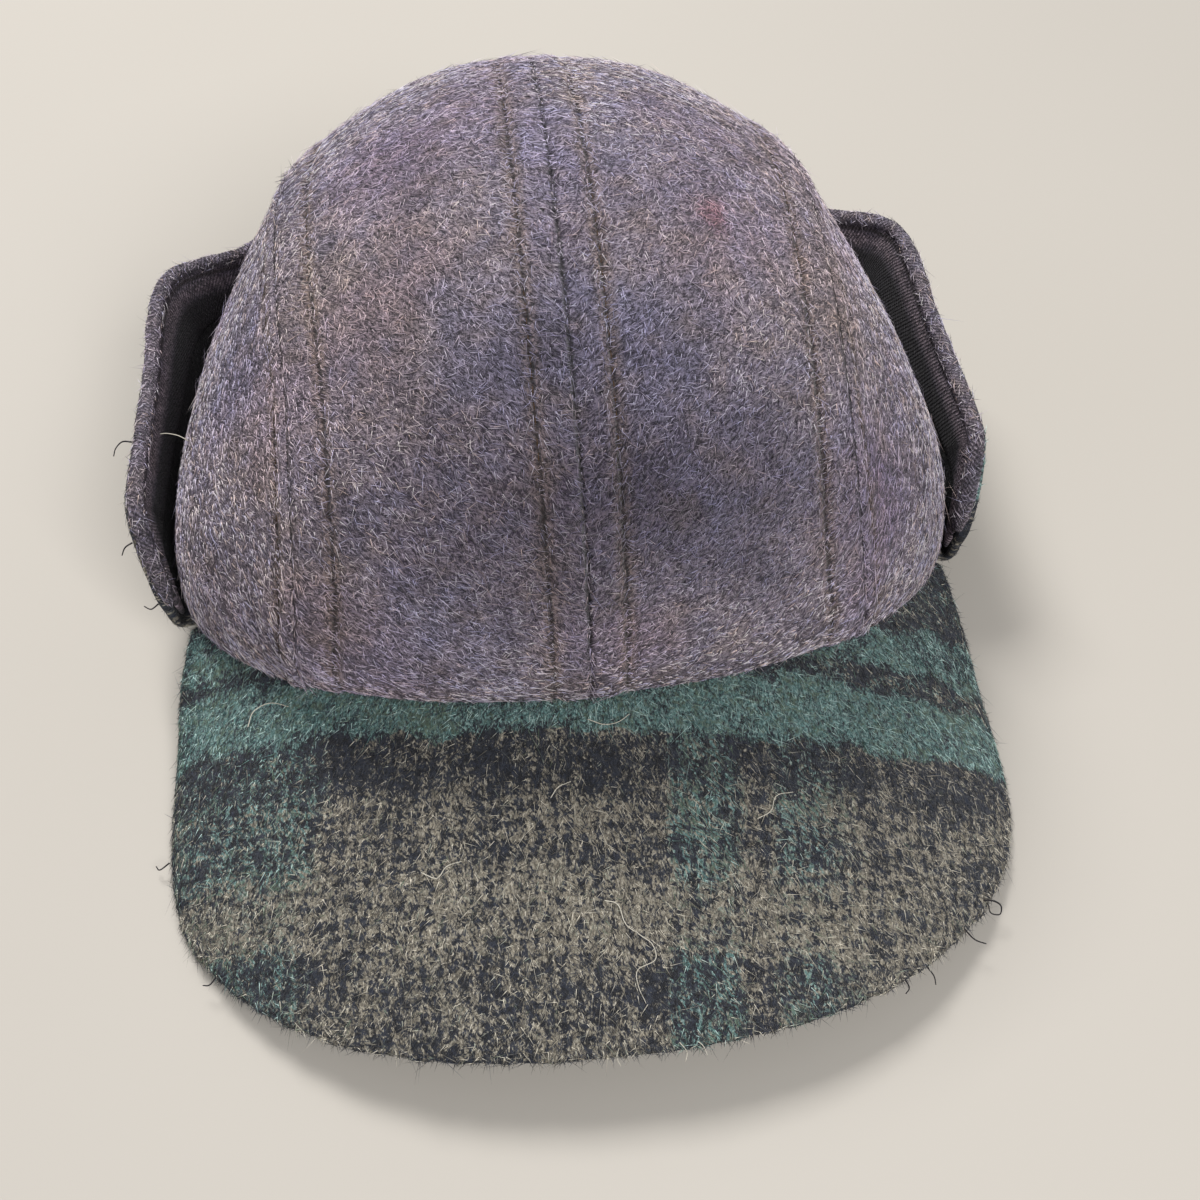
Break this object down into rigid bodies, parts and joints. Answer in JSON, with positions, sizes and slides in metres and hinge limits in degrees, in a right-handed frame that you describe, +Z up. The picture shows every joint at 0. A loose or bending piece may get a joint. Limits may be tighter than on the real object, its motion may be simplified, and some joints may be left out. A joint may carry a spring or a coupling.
{
  "type": "cap",
  "caption": "Soft wool cap with a rounded, panelled crown, a stiff curved peak and ear flaps turned up round the sides and back.",
  "frame": {"origin": "middle of the cap's bounding box, on the table it lies on", "axes": "+Z up, -Y the way the peak points, +X towards the wearer's left"},
  "size_m": [0.1908, 0.2568, 0.112],
  "materials": {
    "wool_mauve": "brushed heather wool twill",
    "wool_plaid": "brushed wool plaid"
  },
  "bodies": {
    "root": {"crown_strip_left": "wool_mauve", "crown_side_left": "wool_mauve", "crown_strip_right": "wool_mauve", "crown_side_right": "wool_mauve", "peak": "wool_plaid", "ear_flap": "wool_plaid", "flap_facing": "wool_mauve"}
  },
  "joints": []
}
